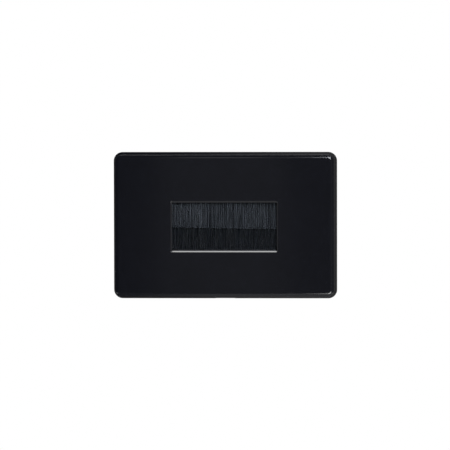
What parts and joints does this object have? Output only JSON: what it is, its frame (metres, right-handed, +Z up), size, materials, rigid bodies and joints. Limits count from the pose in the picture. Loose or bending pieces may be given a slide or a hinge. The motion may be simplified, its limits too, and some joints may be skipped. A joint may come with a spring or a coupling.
{
  "type": "brush cable grommet",
  "caption": "Rectangular clip-on wall plate with a chamfered cable opening closed by overlapping rows of nylon bristles, on a screw-fixed mounting plate.",
  "frame": {"origin": "on the wall plane, midway between the two fixing screws, which is also the centre of the plate", "axes": "+X right and +Z up as seen from the room; +Y into the wall, so the face looks along -Y"},
  "size_m": [0.116, 0.01, 0.076],
  "materials": {
    "cover_gloss_black": "moulded, satin to gloss",
    "mounting_plate_black": "moulded, matt",
    "brush_channel_steel": "zinc plated, black passivated",
    "core_wire_steel": "drawn, plain",
    "bristle_nylon": "extruded filament, satin"
  },
  "bodies": {
    "root": {"cover_plate": "cover_gloss_black", "mounting_plate": "mounting_plate_black", "upper_brush_channel": "brush_channel_steel", "upper_core_wire": "core_wire_steel", "upper_bristles": "bristle_nylon", "lower_brush_channel": "brush_channel_steel", "lower_core_wire": "core_wire_steel", "lower_bristles": "bristle_nylon"}
  },
  "joints": []
}
